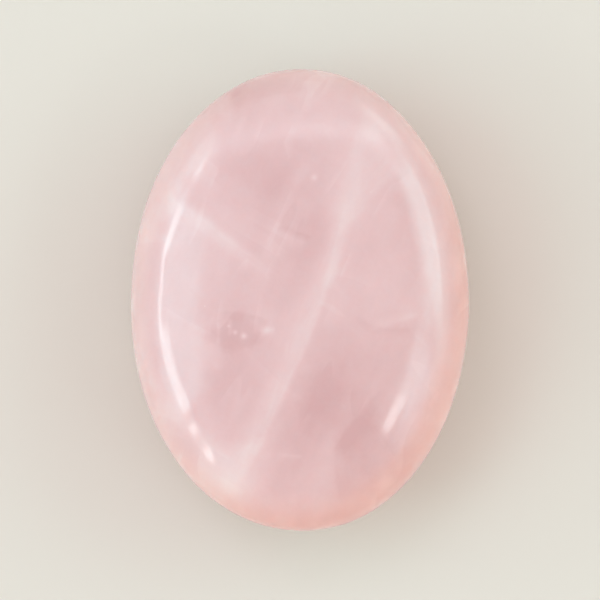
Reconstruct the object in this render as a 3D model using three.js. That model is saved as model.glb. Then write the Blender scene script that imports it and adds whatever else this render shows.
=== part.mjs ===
// A rose quartz palm stone: one hand-polished oval pebble, lying on a small flat spot.
// Millimetres, +Z up. The stone's length runs along Y and its width along X.
// The origin is at the middle of the stone's plan, on the surface that it rests on.

import * as THREE from "three";
import { mergeVertices } from "three/addons/utils/BufferGeometryUtils.js";

// Driving dimensions
const LENGTH = 65;
const WIDTH = 47.6;
const THICKNESS = 21;
const FLAT_SPOT_LENGTH = 16;

// Form
const CROWN_SHARE = 0.52; // share of the thickness above the widest level
const OUTLINE_POWER = 2.05; // of the plan: 2 is an ellipse, more is squarer
const CROWN_POWER = 2.3; // of the upright section: 2 is an ellipse, more has a flatter crown
const EGG = -0.006; // how much wider the stone is at its +Y end, as a share of its width
const SKEW = 0.009; // how much longer it is on its +X side, as a share of its length
const LEAN = 0.03; // how much higher the crown is towards +Y, as a share of its height
const TWIST = 0.9; // how far the rim would rise at a corner of the plan's box, were it to reach it
const SPOT_BLEND = 0.08; // height over which the flat spot rounds into the underside

// Shallow swells left by polishing by hand. Each is a wave over the unit sphere:
// its direction and pace, where it starts, and its height.
const SWELLS = [
  { pace: [2.6, 1.1, 0.9], start: 0.7, height: 0.14 },
  { pace: [-1.7, 3.4, 1.5], start: 2.1, height: 0.1 },
  { pace: [3.9, 3.1, -2.2], start: 4.4, height: 0.06 },
  { pace: [-5.2, 2.4, 3.0], start: 1.3, height: 0.035 },
];

const EDGE_CUTS = 18; // new points along each edge of the starting icosahedron

const { abs, hypot, pow, sin } = Math;

// The level of the flat spot, measured from the widest level, on an underside this deep.
function spotLevel(depth) {
  const reach = FLAT_SPOT_LENGTH / LENGTH;
  return -depth * pow(1 - pow(reach, CROWN_POWER), 1 / 2);
}

// A height that stays on the level while it is well below it, and leaves it smoothly.
function restOn(level, height) {
  const above = height - level;
  if (above <= -SPOT_BLEND) return level;
  if (above >= SPOT_BLEND) return height;
  return level + (above + SPOT_BLEND) ** 2 / (4 * SPOT_BLEND);
}

// Moves a point of the unit sphere to the stone's surface.
function shape(point) {
  const { x, y, z } = point;
  const depth = THICKNESS * (z > 0 ? CROWN_SHARE : 1 - CROWN_SHARE);
  const outline = pow(pow(abs(x), OUTLINE_POWER) + pow(abs(y), OUTLINE_POWER), 1 / OUTLINE_POWER);
  const spread = pow(hypot(x, y), 2 / CROWN_POWER) / outline;
  point.set((x * spread * WIDTH) / 2, (y * spread * LENGTH) / 2, z * depth);

  point.x *= 1 + EGG * y;
  point.y *= 1 + SKEW * x;
  point.z *= 1 + LEAN * y;
  point.z += TWIST * x * y;

  const swell = SWELLS.reduce((sum, { pace, start, height }) => {
    return sum + height * sin(pace[0] * x + pace[1] * y + pace[2] * z + start);
  }, 0);
  point.setLength(point.length() + swell);

  if (z < 0) point.z = restOn(spotLevel(depth), point.z);
}

// Scales the geometry to the driving dimensions, and stands it on the origin.
function fit(geometry) {
  geometry.center();
  geometry.computeBoundingBox();
  const size = geometry.boundingBox.getSize(new THREE.Vector3());
  geometry.scale(WIDTH / size.x, LENGTH / size.y, THICKNESS / size.z);
  geometry.translate(0, 0, THICKNESS / 2);
}

function stoneGeometry() {
  const ball = new THREE.IcosahedronGeometry(1, EDGE_CUTS);
  ball.deleteAttribute("normal");
  ball.deleteAttribute("uv");
  const geometry = mergeVertices(ball);

  const positions = geometry.getAttribute("position");
  const point = new THREE.Vector3();
  for (let i = 0; i < positions.count; i++) {
    point.fromBufferAttribute(positions, i);
    shape(point);
    positions.setXYZ(i, point.x, point.y, point.z);
  }

  fit(geometry);
  geometry.computeVertexNormals();
  return geometry;
}

const roseQuartz = new THREE.MeshStandardMaterial({
  name: "rose_quartz",
  color: 0xe3bfc1,
  roughness: 0.1,
  metalness: 0,
});

const stone = new THREE.Mesh(stoneGeometry(), roseQuartz);
stone.name = "stone";

const palmStone = new THREE.Group();
palmStone.add(stone);

export default palmStone;
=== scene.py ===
# A rose quartz palm stone on a pale floor, seen from straight above.
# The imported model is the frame. The stone shown is a finer mesh of the same form.

import math

import bpy
import numpy as np
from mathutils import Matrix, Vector


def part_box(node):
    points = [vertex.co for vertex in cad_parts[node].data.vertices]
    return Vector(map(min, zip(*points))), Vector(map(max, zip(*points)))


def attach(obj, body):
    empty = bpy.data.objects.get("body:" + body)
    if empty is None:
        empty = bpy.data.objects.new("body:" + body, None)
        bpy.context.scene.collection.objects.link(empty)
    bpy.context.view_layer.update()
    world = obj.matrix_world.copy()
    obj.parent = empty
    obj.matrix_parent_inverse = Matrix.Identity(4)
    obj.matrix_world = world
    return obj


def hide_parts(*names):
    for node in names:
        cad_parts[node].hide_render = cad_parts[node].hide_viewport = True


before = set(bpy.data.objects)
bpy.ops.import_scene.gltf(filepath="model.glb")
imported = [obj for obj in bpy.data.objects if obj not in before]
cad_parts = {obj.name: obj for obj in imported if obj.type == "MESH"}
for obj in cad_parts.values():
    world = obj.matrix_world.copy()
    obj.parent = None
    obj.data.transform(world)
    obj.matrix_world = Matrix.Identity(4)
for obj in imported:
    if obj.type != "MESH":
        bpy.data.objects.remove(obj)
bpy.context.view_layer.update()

MM = 0.001

# The stone's size, from the frame. Its lengths and places are in millimetres.
box_low, box_high = (np.array(corner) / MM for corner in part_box("stone"))
WIDTH, LENGTH, THICKNESS = box_high - box_low

# Its form, the same as the CAD solid's
CROWN_SHARE = 0.52  # share of the thickness above the widest level
WIDEST_LEVEL = THICKNESS * (1 - CROWN_SHARE)
OUTLINE_POWER = 2.05  # of the plan: 2 is an ellipse, more is squarer
CROWN_POWER = 2.3  # of the upright section: 2 is an ellipse, more has a flatter crown
EGG = -0.006  # how much wider the stone is at its +Y end, as a share of its width
SKEW = 0.009  # how much longer it is on its +X side, as a share of its length
LEAN = 0.03  # how much higher the crown is towards +Y, as a share of its height
TWIST = 0.9  # how far the rim would rise at a corner of the plan's box
FLAT_SPOT_LENGTH = 16
SPOT_BLEND = 0.08  # height over which the flat spot rounds into the underside

# Its shallow swells: waves over the unit sphere, with their pace along each axis in radians
SWELLS = [
    {"pace": (2.6, 1.1, 0.9), "start": 0.7, "height": 0.14},
    {"pace": (-1.7, 3.4, 1.5), "start": 2.1, "height": 0.1},
    {"pace": (3.9, 3.1, -2.2), "start": 4.4, "height": 0.06},
    {"pace": (-5.2, 2.4, 3.0), "start": 1.3, "height": 0.035},
]

# What the CAD solid leaves out: the faint ripple of a surface polished by hand, long and short. Each
# kind has a number of waves, the range of their pace, and the height of the slowest.
RIPPLES = [
    {"count": 9, "pace": (9.0, 17.0), "height": 0.011},
    {"count": 24, "pace": (26.0, 44.0), "height": 0.0022},
]
RIPPLE_SEED = 5

MESH_CUTS = 124  # squares along each side of the cube that the mesh starts from
SAME_DIGITS = 7  # decimals of the unit sphere to which points that meet at the cube's edges agree
TINY = 1e-9  # keeps the poles from a division by zero


def unit_ball(cuts):
    """The points and the four-sided faces of a cube, cut into squares and swelled to a unit sphere."""
    steps = np.tan(np.linspace(-1, 1, cuts + 1) * math.pi / 4)
    across, up = np.meshgrid(steps, steps, indexing="ij")
    sides = []
    for axis in range(3):
        for sign in (1, -1):
            side = np.zeros((cuts + 1, cuts + 1, 3))
            side[..., axis] = sign
            side[..., (axis + 1) % 3] = across * sign
            side[..., (axis + 2) % 3] = up
            sides.append(side.reshape(-1, 3))
    points = np.concatenate(sides)
    points /= np.linalg.norm(points, axis=1, keepdims=True)
    points, place = np.unique(points.round(SAME_DIGITS), axis=0, return_inverse=True)

    row = np.arange(cuts)
    corner = (row[:, None] * (cuts + 1) + row).ravel()
    square = np.stack([corner, corner + cuts + 1, corner + cuts + 2, corner + 1], axis=1)
    first = np.arange(6)[:, None, None] * (cuts + 1) ** 2
    return points, place.ravel()[(square + first).reshape(-1, 4)]


def rest_on(level, height):
    """A height that stays on the level while it is well below it, and leaves it smoothly."""
    above = height - level
    rounded = level + (above + SPOT_BLEND) ** 2 / (4 * SPOT_BLEND)
    return np.where(above <= -SPOT_BLEND, level, np.where(above >= SPOT_BLEND, height, rounded))


def waves(points, settings):
    return sum(w["height"] * np.sin(points @ np.array(w["pace"]) + w["start"]) for w in settings)


def ripples():
    """Very low waves in all directions."""
    chance = np.random.default_rng(RIPPLE_SEED)
    made = []
    for kind in RIPPLES:
        for _ in range(kind["count"]):
            way = chance.normal(size=3)
            pace = chance.uniform(*kind["pace"])
            made.append({
                "pace": way / np.linalg.norm(way) * pace,
                "start": chance.uniform(0, 2 * math.pi),
                "height": kind["height"] * kind["pace"][0] / pace,
            })
    return made


def shape(ball):
    """Moves points of the unit sphere to the stone's surface, in millimetres."""
    x, y, z = ball.T
    depth = THICKNESS * np.where(z > 0, CROWN_SHARE, 1 - CROWN_SHARE)
    flat = np.hypot(x, y)
    outline = (np.abs(x) ** OUTLINE_POWER + np.abs(y) ** OUTLINE_POWER) ** (1 / OUTLINE_POWER)
    spread = flat ** (2 / CROWN_POWER) / np.maximum(outline, TINY)
    points = np.stack([x * spread * WIDTH / 2, y * spread * LENGTH / 2, z * depth], axis=1)

    points[:, 0] *= 1 + EGG * y
    points[:, 1] *= 1 + SKEW * x
    points[:, 2] *= 1 + LEAN * y
    points[:, 2] += TWIST * x * y

    length = np.linalg.norm(points, axis=1)
    points *= ((length + waves(ball, SWELLS + ripples())) / length)[:, None]

    level = -WIDEST_LEVEL * math.sqrt(1 - (FLAT_SPOT_LENGTH / LENGTH) ** CROWN_POWER)
    points[:, 2] = np.where(z < 0, rest_on(level, points[:, 2]), points[:, 2])
    return points


def make_stone():
    ball, faces = unit_ball(MESH_CUTS)
    points = shape(ball)
    low, high = points.min(0), points.max(0)
    points = box_low + (points - low) * (box_high - box_low) / (high - low)

    mesh = bpy.data.meshes.new("palm_stone")
    mesh.from_pydata((points * MM).tolist(), [], faces.tolist())
    mesh.shade_smooth()
    stone = bpy.data.objects.new("palm_stone", mesh)
    bpy.context.scene.collection.objects.link(stone)
    return stone


# Shader graphs

# Noise: its mean, how strong each finer detail is against the last, and how many details it has
NOISE_MEAN = 0.5
NOISE_ROUGHNESS = 0.55
SMOOTH, SOFT, ROUGH, FINE = 1, 2, 3, 4


class Field:
    """A number that varies over a surface: one output of a node, which takes part in sums."""

    def __init__(self, graph, socket):
        self.graph = graph
        self.socket = socket

    def __add__(self, other):
        return self.graph.math("ADD", self, other)

    def __sub__(self, other):
        return self.graph.math("SUBTRACT", self, other)

    def __rsub__(self, other):
        return self.graph.math("SUBTRACT", other, self)

    def __mul__(self, other):
        return self.graph.math("MULTIPLY", self, other)

    __radd__ = __add__
    __rmul__ = __mul__


class Graph:
    """Adds nodes to a node tree. An input is a Field or a plain value."""

    def __init__(self, tree):
        self.tree = tree
        tree.nodes.clear()

    def add(self, kind, inputs=(), **settings):
        node = self.tree.nodes.new(kind)
        for name, value in settings.items():
            setattr(node, name, value)
        for key, value in dict(inputs).items():
            self.feed(node.inputs[key], value)
        return node

    def feed(self, socket, value):
        if isinstance(value, Field):
            self.tree.links.new(value.socket, socket)
        else:
            socket.default_value = value

    def field(self, node, output=0):
        return Field(self, node.outputs[output])

    def math(self, operation, *values):
        return self.field(self.add("ShaderNodeMath", enumerate(values), operation=operation))

    def vector(self, operation, *values, output=0):
        node = self.add("ShaderNodeVectorMath", enumerate(values), operation=operation)
        return self.field(node, output)

    def dot(self, a, b):
        return self.vector("DOT_PRODUCT", a, b, output="Value")

    def combine(self, x, y, z):
        return self.field(self.add("ShaderNodeCombineXYZ", enumerate((x, y, z))))

    def separate(self, vector):
        node = self.add("ShaderNodeSeparateXYZ", {"Vector": vector})
        return [self.field(node, axis) for axis in range(3)]

    def local(self, place, centre, turns, units):
        """Places measured from a centre along turned axes, in units of their own."""
        settings = {"Vector": place, "Location": centre, "Rotation": turns, "Scale": units}
        return self.field(self.add("ShaderNodeMapping", settings, vector_type="TEXTURE"))

    def bell(self, squared):
        """1 where a squared distance is 0, falling off as a bell curve does."""
        return self.math("POWER", 1 / math.e, squared)

    def step(self, value, start, end):
        """0 as far as start, 1 from end on, and smooth between them. Start may be the higher one."""
        settings = {"Value": value, "From Min": start, "From Max": end}
        return self.field(self.add("ShaderNodeMapRange", settings, interpolation_type="SMOOTHSTEP"))

    def noise(self, place, size, detail, output="Fac", dimensions="3D"):
        """Noise with lumps of about this size, between 0 and 1 and mostly near its mean."""
        settings = {"Vector": place, "Scale": 1 / size, "Detail": detail, "Roughness": NOISE_ROUGHNESS}
        return self.field(self.add("ShaderNodeTexNoise", settings, noise_dimensions=dimensions), output)

    def ramp(self, value, stops):
        node = self.add("ShaderNodeValToRGB", {"Fac": value})
        elements = node.color_ramp.elements
        for position, _ in stops[2:]:
            elements.new(position)
        for element, (position, colour) in zip(elements, stops):
            element.position = position
            element.color = (*colour, 1)
        return self.field(node)


# Rose quartz

# The stone's pinks, from the deepest to the milkiest, by how milky it is there
PINKS = [
    (0.0, (0.7, 0.41, 0.415)),
    (0.45, (0.795, 0.524, 0.529)),
    (1.0, (0.865, 0.685, 0.68)),
]
BASE_MILK = 0.37

# Healed fractures: milky sheets that cut down through the stone, and a few clear ones. Seen from above,
# each runs from one place to another, in millimetres, bowed to its right. It fades over one width to its
# left and another to its right, and leans by dip from upright.
THROUGH = [
    # The main one, from the top right down to the bottom left
    {"from": (9.5, 27.0), "to": (3.4, 2.0), "left": 2.2, "right": 1.1, "milk": 0.16},
    {"from": (6.2, 10.0), "to": (-10.4, -28.0), "bow": -1.2, "left": 0.65, "right": 2.3, "milk": 0.26},
    # The line at the upper left
    {"from": (-20.0, 13.4), "to": (-3.4, 3.2), "bow": -0.85, "left": 0.8, "right": 1.2, "milk": 0.2,
     "dip": -20},
]
ON_CROWN = [
    # The fan at the upper right
    {"from": (4.6, 9.0), "to": (14.2, 19.4), "left": 3.4, "right": 0.9, "milk": 0.16},
    # A faint line that comes down to the inner end of the line at the upper left
    {"from": (2.4, 19.5), "to": (-4.9, 3.4), "bow": 1.6, "left": 0.6, "right": 1.3, "milk": 0.11},
    # The short dark line above the middle, and the pale one under it
    {"from": (-2.8, 10.3), "to": (1.6, 8.4), "left": 0.35, "right": 0.5, "milk": -0.13},
    {"from": (-3.4, 9.4), "to": (0.8, 7.7), "left": 0.4, "right": 1.1, "milk": 0.09},
    # The fine pale line to the right of the middle, and the dark one under it
    {"from": (9.6, -4.0), "to": (16.8, -2.0), "left": 0.7, "right": 0.35, "milk": 0.14},
    {"from": (7.6, -2.4), "to": (16.0, -3.9), "bow": 0.9, "left": 0.4, "right": 0.8, "milk": -0.12},
    # The two edges of the clear place at the lower right
    {"from": (11.6, -12.4), "to": (4.4, -21.4), "bow": 0.3, "left": 2.8, "right": 0.4, "milk": -0.15},
    {"from": (5.2, -18.4), "to": (6.0, -28.0), "bow": 0.5, "left": 3.2, "right": 0.5, "milk": -0.11},
    # The edges of the clear place round the white grains
    {"from": (-11.6, -1.9), "to": (-4.2, -3.3), "bow": -0.4, "left": 0.3, "right": 0.9, "milk": -0.12},
    {"from": (-4.6, -2.6), "to": (-6.9, -7.0), "left": 0.3, "right": 1.0, "milk": -0.1},
    # Short streaks in it and beside it, and one near the bottom
    {"from": (-5.6, -4.5), "to": (-3.4, -4.1), "left": 0.5, "right": 0.5, "milk": 0.17},
    {"from": (-10.0, -2.5), "to": (-9.8, -5.0), "left": 0.3, "right": 0.25, "milk": 0.16},
    {"from": (-11.5, -3.0), "to": (-11.3, -6.2), "left": 0.3, "right": 0.3, "milk": 0.14},
    {"from": (-3.2, -21.4), "to": (0.4, -21.9), "left": 0.3, "right": 0.35, "milk": 0.12},
]
# Those that can't be seen from above are guessed
ON_SIDES = [
    {"from": (-31.0, 7.0), "to": (-8.0, -4.0), "bow": 0.8, "dip": 24,
     "left": 0.5, "right": 1.9, "milk": 0.34},
    {"from": (-28.0, -15.0), "to": (-7.0, -9.0), "bow": -1.0, "dip": -30,
     "left": 1.6, "right": 0.5, "milk": 0.3},
    {"from": (32.0, 4.0), "to": (9.0, -3.0), "bow": 1.0, "dip": 28,
     "left": 0.5, "right": 2.0, "milk": 0.34},
    {"from": (27.0, 21.0), "to": (8.0, 11.0), "bow": -0.8, "dip": -20,
     "left": 1.8, "right": 0.6, "milk": 0.28},
    {"from": (25.0, -19.0), "to": (8.0, -10.0), "bow": 0.6, "dip": 35,
     "left": 0.6, "right": 1.2, "milk": 0.26},
    {"from": (5.0, -41.0), "to": (1.0, -17.0), "bow": 1.2, "dip": -26,
     "left": 0.6, "right": 1.7, "milk": 0.3},
    {"from": (-8.0, 41.0), "to": (-1.0, 16.0), "bow": -1.0, "dip": 22,
     "left": 1.7, "right": 0.5, "milk": 0.3},
]
UNDERNEATH = [
    {"from": (-16.0, 17.0), "to": (14.0, 3.0), "bow": 2.5, "dip": 15,
     "left": 0.7, "right": 2.2, "milk": 0.4},
    {"from": (12.0, -26.0), "to": (2.0, 6.0), "bow": -1.5, "dip": -12,
     "left": 1.8, "right": 0.6, "milk": 0.3},
]

# The levels between which each group shows. It fades over the last few millimetres.
LAYERS = [
    {"levels": (-10, 30), "fractures": THROUGH},
    {"levels": (9, 30), "fractures": ON_CROWN},
    {"levels": (-10, 13.5), "fractures": ON_SIDES},
    {"levels": (-10, 9), "fractures": UNDERNEATH},
]
LEVEL_FADE = 3

FRACTURE_ENDS = (0.6, 1.1)  # where a fracture starts to fade and is gone, as shares of half its length
THREAD_WIDTH = 0.9  # of the fine threads that a fracture is made of
THREAD_LENGTH = 6.2
WANDER_SIZE = 6  # the fractures wander from side to side, over lengths of this size
WANDER_REACH = 1.3

# Clear places, where the pink is deepest, and milky clouds, both near the crown: the middle, the size
# along and across, the way that the length points, clockwise from +Y, and how much milk. The edge is
# crisper the more it is over 1.
CLOUDS = [
    # Clear places above the middle
    {"at": (-3.4, 16.4), "size": (5.5, 4.0), "turn": 20, "milk": -0.26},
    {"at": (1.6, 9.8), "size": (6.5, 2.8), "turn": 8, "milk": -0.19},
    {"at": (-4.2, 9.6), "size": (3.2, 2.4), "turn": 0, "milk": -0.14},
    {"at": (-5.5, 2.5), "size": (6.0, 4.0), "turn": 30, "milk": -0.08},
    # Round the white grains, and under them
    {"at": (-8.2, -4.9), "size": (3.4, 2.4), "turn": 100, "milk": -0.2, "edge": 2.5},
    {"at": (-9.0, -7.5), "size": (4.5, 3.6), "turn": 20, "milk": -0.12},
    {"at": (-8.5, -12.0), "size": (5.5, 3.6), "turn": -10, "milk": -0.12},
    {"at": (-5.0, -11.0), "size": (3.0, 2.0), "turn": 20, "milk": -0.08},
    # Beside the lower half of the main fracture
    {"at": (3.9, -12.4), "size": (7.5, 4.8), "turn": 25, "milk": -0.36},
    {"at": (0.4, -17.4), "size": (5.0, 3.6), "turn": 20, "milk": -0.19},
    {"at": (-2.4, -24.0), "size": (4.0, 3.0), "turn": 90, "milk": -0.09},
    # At the lower right
    {"at": (8.4, -20.6), "size": (5.5, 2.6), "turn": 12, "milk": -0.2},
    {"at": (11.3, -19.6), "size": (4.2, 1.5), "turn": -25, "milk": -0.14},
    {"at": (13.0, -21.0), "size": (3.2, 2.0), "turn": -40, "milk": -0.16},
    # Near the rim
    {"at": (-6.0, 29.4), "size": (8.0, 3.0), "turn": 75, "milk": -0.18},
    {"at": (-8.1, 28.3), "size": (1.5, 1.1), "turn": 20, "milk": -0.2},
    {"at": (20.6, 10.0), "size": (3.4, 1.4), "turn": -15, "milk": -0.14},
    {"at": (22.9, 3.0), "size": (5.0, 1.3), "turn": -6, "milk": -0.18},
    {"at": (17.0, -5.5), "size": (3.2, 1.6), "turn": 0, "milk": -0.12},
    {"at": (18.2, -15.2), "size": (3.2, 1.1), "turn": 23, "milk": -0.16},
    {"at": (3.8, -31.2), "size": (3.6, 1.4), "turn": 90, "milk": -0.2},
    # Milky clouds on the main fracture, and at its ends
    {"at": (10.0, 25.0), "size": (6.5, 3.4), "turn": -50, "milk": 0.12},
    {"at": (10.5, 19.5), "size": (4.0, 3.0), "turn": -20, "milk": 0.04},
    {"at": (1.5, 23.0), "size": (4.5, 1.5), "turn": 90, "milk": 0.1},
    {"at": (5.2, -1.6), "size": (2.8, 2.2), "turn": 0, "milk": 0.09},
    {"at": (-5.8, -18.4), "size": (3.6, 1.1), "turn": 22, "milk": 0.15},
    {"at": (-9.8, -20.6), "size": (2.4, 2.0), "turn": 0, "milk": 0.1},
    {"at": (-13.4, -20.0), "size": (3.4, 2.0), "turn": -40, "milk": 0.12},
    {"at": (-10.5, -24.6), "size": (5.5, 4.2), "turn": 60, "milk": 0.34},
    # To its left and its right
    {"at": (-17.0, 9.0), "size": (4.0, 2.0), "turn": 10, "milk": 0.1},
    {"at": (-12.4, 7.5), "size": (9.0, 2.2), "turn": 5, "milk": 0.11},
    {"at": (-12.6, -5.2), "size": (2.6, 1.8), "turn": 0, "milk": 0.16},
    {"at": (-11.2, -6.8), "size": (1.7, 1.3), "turn": 0, "milk": 0.13},
    {"at": (13.0, 2.5), "size": (4.5, 3.0), "turn": 0, "milk": 0.12},
    {"at": (12.5, -17.0), "size": (5.0, 1.4), "turn": 20, "milk": 0.12},
    {"at": (11.0, -24.6), "size": (2.2, 1.0), "turn": 80, "milk": 0.1},
    # Along the left rim
    {"at": (-13.6, 20.0), "size": (3.5, 3.0), "turn": 30, "milk": 0.16},
    {"at": (-18.8, 14.4), "size": (2.6, 1.6), "turn": 30, "milk": 0.2},
    {"at": (-20.0, 13.0), "size": (5.5, 2.0), "turn": 20, "milk": 0.1},
    {"at": (-20.0, -13.5), "size": (4.0, 1.4), "turn": -30, "milk": 0.12},
]
CLOUD_DEPTH = 8
SWIRL_SIZE = 8  # the clouds' outlines swirl, with lumps of this size
SWIRL_REACH = 8

# White grains, where a fracture or a bubble catches the light: place, radius and how much milk
SPECKS = [
    {"at": (-7.8, -5.0), "radius": 0.42, "milk": 0.6},
    {"at": (-9.0, -4.5), "radius": 0.3, "milk": 0.5},
    {"at": (-4.6, -4.2), "radius": 0.5, "milk": 0.2},
    {"at": (2.0, 17.0), "radius": 0.45, "milk": 0.36},
    {"at": (-9.9, -3.6), "radius": 0.2, "milk": 0.4},
    {"at": (-11.6, -9.3), "radius": 0.7, "milk": 0.1},
]

# Haze that drifts through the stone: the size of its lumps, how much milk it has, and how much more of
# it there is below the crown. The sides thicken from one level to another.
HAZE_SIZE = 10
HAZE_MILK = 0.45
LOW_HAZE_MILK = 0.3
SIDE_LEVELS = (15, 8)

# Thin veils in two families that cross each other. A veil has one sharp side and one soft one. Turn is
# the way that it runs, clockwise from +Y, and lean how far it shifts to its left over a millimetre of
# height.
VEILS = [
    {"turn": 22, "width": 7.0, "lean": 0.3, "milk": 0.1},
    {"turn": -58, "width": 9.0, "lean": -0.25, "milk": 0.07},
]
VEIL_SHARP, VEIL_SOFT = 0.012, 0.1  # how far the tone that they follow changes over their two sides
VEIL_STRETCH = 0.22  # how much slower that tone changes along a veil than across it
VEIL_GAPS = (0.46, 0.62)  # another tone, below which veils are gone, and above which they are whole
LOW_VEILS = 1.5  # how much more of them there is below the crown

# Faint streaks that run with the main fracture, fine grain, and tiny bright grains
WISP_TURN = 22
WISP_WIDTH = 2.2
WISP_STRETCH, WISP_RISE = 0.16, 0.4  # how much slower they change along their run, and upwards
WISP_MILK = 0.16
GRAIN_SIZE = 0.6
GRAIN_MILK = 0.1
PINPOINT_SPACING = 2.6
PINPOINT_RADII = (0.06, 0.02)  # where one is gone and where it is full, as shares of their spacing
PINPOINT_CHANCE = (0.6, 1.0)  # of a number drawn for each: none shows below the first
PINPOINT_MILK = 0.3

# Painted light round the rim: painted shade makes it a little deeper all round, and a painted warm
# bounce makes it warm at the lower right. What each adds to a factor of 1 for red, green and blue.
RIM_LEVELS = (-1, 3, 7)  # above the widest level: where the tints start, are full, and end
PAINTED_RIM_SHADE = (-0.028, -0.033, -0.06)
PAINTED_WARM_BOUNCE = (0.04, -0.05, -0.12)
WARM_BOUNCE_SIDE = (0.77, -0.64, 0)
WARM_BOUNCE_FROM, WARM_BOUNCE_TO = -12, 20  # how far towards that side the warmth starts, and is all there

# The polish is a little uneven
ROUGHNESS = 0.04
ROUGHNESS_SPREAD = 0.05
ROUGHNESS_SIZE = 2

REFRACTION = 1.54
GLOW_DEPTH = 4 * MM  # how far light spreads under the surface, and its shares for red, green and blue
GLOW_SHARES = (1.0, 0.72, 0.66)


def on_crown(x, y):
    """The place on the crown that is over a place of the plan, leaving out the crown's swells."""
    reach = min(math.hypot(x / (WIDTH / 2), y / (LENGTH / 2)), 1)
    return np.array([x, y, WIDEST_LEVEL + THICKNESS * CROWN_SHARE * math.sqrt(1 - reach ** CROWN_POWER)])


def ways(degrees):
    """Unit vectors of the plan that point this many degrees clockwise from +Y, and to the right of that."""
    turn = math.radians(degrees)
    return (math.sin(turn), math.cos(turn), 0), (math.cos(turn), -math.sin(turn), 0)


def fracture(graph, place, wander, setting):
    """How milky one healed fracture makes a place."""
    start, end = np.array(setting["from"]), np.array(setting["to"])
    half = math.hypot(*(end - start)) / 2
    turn = math.atan2(*(end - start))
    dip = math.radians(setting.get("dip", 0))
    bow = setting.get("bow", 0)

    across_way = np.array([math.cos(turn) * math.cos(dip), -math.sin(turn) * math.cos(dip), math.sin(dip)])
    centre = on_crown(*(start + end) / 2) + across_way * bow
    local = graph.local(place, centre, (0, -dip, -turn), (1, half, 1))
    across, along, _ = graph.separate(local)
    along_squared = along * along
    across = graph.math("MULTIPLY_ADD", along_squared, bow, across) + wander
    away = graph.math("MAXIMUM", across * (1 / setting["right"]), across * (-1 / setting["left"]))

    near, far = FRACTURE_ENDS
    shown = graph.step(along_squared, far ** 2, near ** 2)
    thread_places = graph.vector("MULTIPLY", local, (1 / THREAD_WIDTH, half / THREAD_LENGTH, 0))
    threads = graph.noise(thread_places, 1, FINE, dimensions="2D") + (1 - NOISE_MEAN)
    return graph.bell(away * away) * shown * threads * setting["milk"]


def layer(graph, place, height, wander, setting):
    """How milky one group of fractures makes a place."""
    milk = sum(fracture(graph, place, wander, line) for line in setting["fractures"])
    low, high = setting["levels"]
    return milk * graph.step(height, low, low + LEVEL_FADE) * graph.step(height, high, high - LEVEL_FADE)


def cloud(graph, place, setting):
    """How milky one cloud, or clear place, makes a place."""
    along, across = setting["size"]
    turns = (0, 0, -math.radians(setting["turn"]))
    local = graph.local(place, on_crown(*setting["at"]), turns, (across, along, CLOUD_DEPTH))
    away = graph.dot(local, local)
    if "edge" in setting:
        away = graph.math("POWER", away, setting["edge"])
    return graph.bell(away) * setting["milk"]


def speck(graph, place, setting):
    """How milky one grain makes a place."""
    local = graph.local(place, on_crown(*setting["at"]), (0, 0, 0), (setting["radius"],) * 3)
    return graph.bell(graph.dot(local, local)) * setting["milk"]


def stretched(graph, place, turn, along_share, height_share, lean=0):
    """Places squeezed along one way of the plan and in height, so that a noise runs that way."""
    along_way, right_way = ways(turn)
    across = graph.dot(place, (right_way[0], right_way[1], lean))
    height = graph.dot(place, (0, 0, height_share))
    return graph.combine(across, graph.dot(place, along_way) * along_share, height)


def wisps(graph, place):
    """Faint streaks that run with the main fracture."""
    long_places = stretched(graph, place, WISP_TURN, WISP_STRETCH, WISP_RISE)
    return (graph.noise(long_places, WISP_WIDTH, FINE) - NOISE_MEAN) * WISP_MILK


def veil(graph, place, setting):
    """Thin sheets that run one way, broken here and there, where a soft tone is at its middle."""
    long_places = stretched(graph, place, setting["turn"], VEIL_STRETCH, VEIL_STRETCH, setting["lean"])
    tone = graph.noise(long_places, setting["width"], SOFT) - NOISE_MEAN
    sheet = graph.step(tone, -VEIL_SHARP, 0) * graph.step(tone, VEIL_SOFT, 0)
    shown = graph.step(graph.noise(place, setting["width"], SMOOTH), *VEIL_GAPS)
    return sheet * shown * setting["milk"]


def pinpoints(graph, place):
    """Tiny grains scattered through the stone, few of them bright."""
    settings = {"Vector": place, "Scale": 1 / PINPOINT_SPACING}
    cells = graph.add("ShaderNodeTexVoronoi", settings, feature="F1")
    chance = graph.separate(graph.field(cells, "Color"))[0]
    grain = graph.step(graph.field(cells, "Distance"), *PINPOINT_RADII)
    return grain * graph.step(chance, *PINPOINT_CHANCE) * PINPOINT_MILK


def painted_rim_light(graph, place, height):
    """What the colour is multiplied by round the rim, for painted shade and a painted warm bounce."""
    start, full, end = (WIDEST_LEVEL + level for level in RIM_LEVELS)
    rim = graph.step(height, start, full) * graph.step(height, end, full)
    side = graph.step(graph.dot(place, WARM_BOUNCE_SIDE), WARM_BOUNCE_FROM, WARM_BOUNCE_TO)
    bounce_over_shade = np.subtract(PAINTED_WARM_BOUNCE, PAINTED_RIM_SHADE)
    tint = graph.vector("MULTIPLY_ADD", graph.combine(side, side, side), bounce_over_shade, PAINTED_RIM_SHADE)
    return graph.vector("MULTIPLY_ADD", tint, graph.combine(rim, rim, rim), (1, 1, 1))


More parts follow.
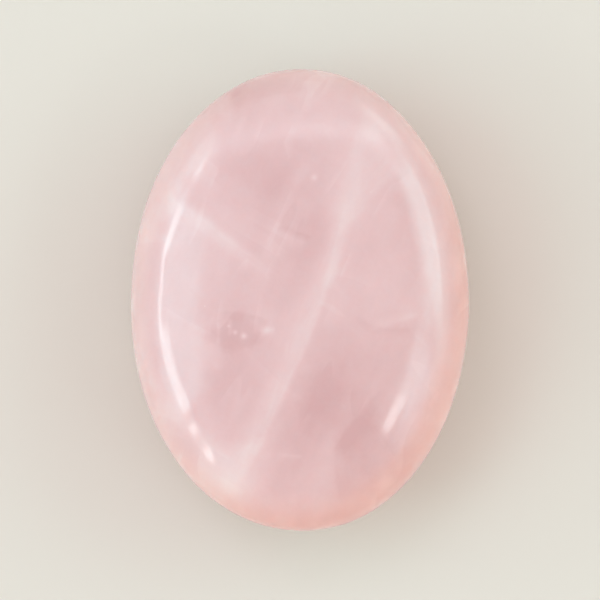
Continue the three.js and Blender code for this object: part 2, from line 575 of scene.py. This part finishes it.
def milkiness(graph, place, height):
    """How milky the stone is at each place, from about 0 to 1."""
    wander = (graph.noise(place, WANDER_SIZE, FINE) - NOISE_MEAN) * WANDER_REACH
    fractures = sum(layer(graph, place, height, wander, setting) for setting in LAYERS)

    # The same places moved about, so that no cloud has a plain outline
    swirl = graph.vector("SUBTRACT", graph.noise(place, SWIRL_SIZE, FINE, "Color"), (NOISE_MEAN,) * 3)
    swirled = graph.vector("MULTIPLY_ADD", swirl, (SWIRL_REACH,) * 3, place)
    clouds = sum(cloud(graph, swirled, setting) for setting in CLOUDS)
    specks = sum(speck(graph, place, setting) for setting in SPECKS)

    low = graph.step(height, *SIDE_LEVELS)
    haze = (graph.noise(swirled, HAZE_SIZE, ROUGH) - NOISE_MEAN) * (low * LOW_HAZE_MILK + HAZE_MILK)
    veils = sum(veil(graph, place, setting) for setting in VEILS) * (low * LOW_VEILS + 1)
    grain = (graph.noise(place, GRAIN_SIZE, ROUGH) - NOISE_MEAN) * GRAIN_MILK
    fine = wisps(graph, place) + pinpoints(graph, place) + grain
    return BASE_MILK + fractures + clouds + specks + haze + veils + fine


def rose_quartz():
    material = bpy.data.materials.new("rose_quartz")
    material.use_nodes = True
    graph = Graph(material.node_tree)

    metres = graph.field(graph.add("ShaderNodeTexCoord"), "Object")
    place = graph.local(metres, (0, 0, 0), (0, 0, 0), (MM, MM, MM))
    height = graph.separate(place)[2]
    pink = graph.ramp(milkiness(graph, place, height), PINKS)

    surface = graph.add("ShaderNodeBsdfPrincipled", {
        # The base colour carries painted rim shade and a painted warm bounce.
        "Base Color": graph.vector("MULTIPLY", pink, painted_rim_light(graph, place, height)),
        "Roughness": graph.noise(place, ROUGHNESS_SIZE, ROUGH) * ROUGHNESS_SPREAD + ROUGHNESS,
        "IOR": REFRACTION,
        "Subsurface Weight": 1.0,
        "Subsurface Radius": GLOW_SHARES,
        "Subsurface Scale": GLOW_DEPTH,
    })
    output = graph.add("ShaderNodeOutputMaterial")
    material.node_tree.links.new(surface.outputs[0], output.inputs["Surface"])
    return material


# Floor, lights and camera

FLOOR_RADIUS = 2.0  # metres
FLOOR_SIDES = 96
FLOOR_COLOUR = (0.76, 0.65, 0.59)
FLOOR_ROUGHNESS = 0.8
FLOOR_GLOSS = 0.1


def make_floor():
    points = [
        (FLOOR_RADIUS * math.cos(turn), FLOOR_RADIUS * math.sin(turn), 0)
        for turn in np.linspace(0, 2 * math.pi, FLOOR_SIDES, endpoint=False)
    ]
    mesh = bpy.data.meshes.new("floor")
    mesh.from_pydata(points, [], [range(len(points))])
    floor = bpy.data.objects.new("floor", mesh)
    bpy.context.scene.collection.objects.link(floor)

    material = bpy.data.materials.new("pale_floor")
    material.use_nodes = True
    surface = material.node_tree.nodes["Principled BSDF"]
    surface.inputs["Base Color"].default_value = (*FLOOR_COLOUR, 1)
    surface.inputs["Roughness"].default_value = FLOOR_ROUGHNESS
    surface.inputs["Specular IOR Level"].default_value = FLOOR_GLOSS
    mesh.materials.append(material)
    return floor


# The room is dim, with soft panels of light round the stone, most of them cool. Each stands where the
# polish mirrors it as a highlight or a sheen. A panel's directions are in degrees: azimuth from +X towards
# +Y, and elevation. Tilt is how far its elevation rises over a degree of azimuth, and bend how fast it
# sinks to both sides of its middle. Sides, foot and top are how many degrees its edges fade over. Its
# light is added to the room's.
ROOM_COLOUR = (0.672, 0.603, 0.589)
PANELS = [
    {"name": "far arch", "azimuth": (44, 136), "sides": 14, "elevation": (44, 54), "bend": 0.0095,
     "foot": 10, "top": 3, "light": (0.52, 0.63, 0.71)},
    {"name": "far", "azimuth": (60, 124), "sides": 16, "elevation": (6, 42),
     "foot": 8, "top": 12, "light": (0.08, 0.16, 0.13)},
    {"name": "left", "azimuth": (155, 206), "sides": 6, "elevation": (14, 52),
     "foot": 16, "top": 12, "light": (0.86, 2.0, 2.1)},
    {"name": "right", "azimuth": (-6, 37), "sides": 16, "elevation": (17, 36.5), "tilt": 0.08,
     "foot": 7, "top": 13, "light": (1.65, 3.3, 3.25)},
    {"name": "lower right", "azimuth": (-29, -11), "sides": 8, "elevation": (26, 39.5),
     "foot": 12, "top": 5, "light": (1.2, 2.05, 2.1)},
    {"name": "lower corner", "azimuth": (-42, -14), "sides": 6, "elevation": (14, 30),
     "foot": 4, "top": 8, "light": (0.4, 0.78, 0.9)},
    {"name": "far right", "azimuth": (41, 58), "sides": 8, "elevation": (8, 42),
     "foot": 16, "top": 10, "light": (0.66, 1.11, 1.1)},
    {"name": "near", "azimuth": (236, 302), "sides": 14, "elevation": (12, 50),
     "foot": 18, "top": 10, "light": (0.28, 0.22, 0.17)},
    {"name": "low left", "azimuth": (198, 248), "sides": 16, "elevation": (4, 24),
     "foot": 6, "top": 12, "light": (0.28, 0.55, 0.5)},
    {"name": "far corner", "azimuth": (133, 156), "sides": 10, "elevation": (7, 30),
     "foot": 10, "top": 10, "light": (0.65, 1.1, 1.08)},
    {"name": "low right", "azimuth": (-16, 62), "sides": 12, "elevation": (6, 20),
     "foot": 6, "top": 12, "light": (0.58, 1.04, 0.92)},
    {"name": "warm low", "azimuth": (-70, -14), "sides": 12, "elevation": (0, 18),
     "foot": 6, "top": 8, "light": (0.5, 0.25, 0.07)},
    {"name": "far spot", "azimuth": (143, 147.5), "sides": 4, "elevation": (22.5, 27.5),
     "foot": 3, "top": 3, "light": (2.2, 2.9, 2.9)},
    {"name": "upper strip", "azimuth": (158, 169), "sides": 4, "elevation": (19.3, 25.2), "tilt": -0.12,
     "foot": 3, "top": 3, "light": (3.0, 4.0, 4.0)},
    {"name": "middle strip", "azimuth": (167, 186), "sides": 5, "elevation": (17.6, 20.6),
     "foot": 2.5, "top": 2.5, "light": (3.0, 3.6, 3.6)},
    {"name": "lower strip", "azimuth": (184, 207), "sides": 4, "elevation": (21.6, 31.0), "tilt": 0.26,
     "foot": 4, "top": 4, "light": (2.8, 3.75, 3.75)},
    {"name": "end strip", "azimuth": (205, 226), "sides": 4, "elevation": (21.5, 31.5),
     "foot": 6, "top": 5, "light": (1.0, 1.3, 1.2)},
    {"name": "first spot", "azimuth": (212, 214.8), "sides": 2.5, "elevation": (22.5, 31.5),
     "foot": 5, "top": 4, "light": (3.2, 4.0, 3.9)},
    {"name": "last spot", "azimuth": (221, 226.5), "sides": 4, "elevation": (22.5, 31.5),
     "foot": 5, "top": 4, "light": (3.4, 4.1, 4.1)},
    {"name": "right strip", "azimuth": (-39.5, -27), "sides": 6, "elevation": (33.8, 41), "tilt": 0.1,
     "foot": 4, "top": 3, "light": (3.5, 4.3, 4.3)},
]

# A soft lamp from the far left gives the shadow its direction. Its lengths are in metres.
LAMP_AZIMUTH = 130
LAMP_ELEVATION = 52
LAMP_DISTANCE = 0.9
LAMP_SIZE = 0.45
LAMP_POWER = 0.94
LAMP_COLOUR = (0.77, 0.84, 1.0)


def edge(graph, value, at, soft):
    """0 below a value and 1 above it, going from one to the other over soft."""
    return graph.step(value, at - soft / 2, at + soft / 2)


def panel_light(graph, way, elevation, panel, others):
    """The light from each direction once a panel is added to the others."""
    low, high = panel["azimuth"]
    middle = math.radians((low + high) / 2)
    ahead = graph.dot(way, (math.cos(middle), math.sin(middle), 0))
    aside = graph.dot(way, (-math.sin(middle), math.cos(middle), 0))
    turn = graph.math("ARCTAN2", aside, ahead) * math.degrees(1)
    beside = graph.math("ABSOLUTE", turn)
    rise = elevation - turn * panel.get("tilt", 0)
    if "bend" in panel:
        rise = rise + turn * turn * panel["bend"]
    foot, top = panel["elevation"]

    shown = 1 - edge(graph, beside, (high - low) / 2, panel["sides"])
    shown = shown * edge(graph, rise, foot, panel["foot"])
    shown = shown * (1 - edge(graph, rise, top, panel["top"]))
    return graph.vector("MULTIPLY_ADD", graph.combine(shown, shown, shown), panel["light"], others)


def make_room():
    world = bpy.data.worlds.new("studio")
    world.use_nodes = True
    bpy.context.scene.world = world
    graph = Graph(world.node_tree)

    way = graph.field(graph.add("ShaderNodeTexCoord"), "Generated")
    elevation = graph.math("ARCSINE", graph.dot(way, (0, 0, 1))) * math.degrees(1)
    colour = ROOM_COLOUR
    for panel in PANELS:
        colour = panel_light(graph, way, elevation, panel, colour)

    background = graph.add("ShaderNodeBackground", {"Color": colour, "Strength": 1.0})
    output = graph.add("ShaderNodeOutputWorld")
    world.node_tree.links.new(background.outputs[0], output.inputs["Surface"])


def make_lamp():
    lamp_data = bpy.data.lights.new("soft_lamp", "AREA")
    lamp_data.shape = "DISK"
    lamp_data.size = LAMP_SIZE
    lamp_data.energy = LAMP_POWER
    lamp_data.color = LAMP_COLOUR
    lamp = bpy.data.objects.new("soft_lamp", lamp_data)
    azimuth, elevation = math.radians(LAMP_AZIMUTH), math.radians(LAMP_ELEVATION)
    way = Vector((math.cos(azimuth) * math.cos(elevation), math.sin(azimuth) * math.cos(elevation),
                  math.sin(elevation)))
    lamp.location = way * LAMP_DISTANCE
    lamp.rotation_euler = way.to_track_quat("Z", "Y").to_euler()
    lamp.visible_glossy = False
    bpy.context.scene.collection.objects.link(lamp)


# The camera looks straight down through a long lens. Its distance is measured from the widest level.
LENS = 300  # millimetres, as the sensor is
SENSOR = 36
STONE_SHARE = 0.77  # of the picture's height that the stone's length takes


def make_camera():
    camera_data = bpy.data.cameras.new("camera")
    camera_data.lens = LENS
    camera_data.sensor_width = SENSOR
    camera = bpy.data.objects.new("camera", camera_data)
    distance = LENGTH / STONE_SHARE * LENS / SENSOR
    camera.location = (0, 0, (WIDEST_LEVEL + distance) * MM)
    bpy.context.scene.collection.objects.link(camera)
    bpy.context.scene.camera = camera


stone = make_stone()
stone.data.materials.append(rose_quartz())
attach(stone, "root")
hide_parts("stone")

make_floor()
make_room()
make_lamp()
make_camera()
bpy.context.scene.view_settings.view_transform = "Standard"
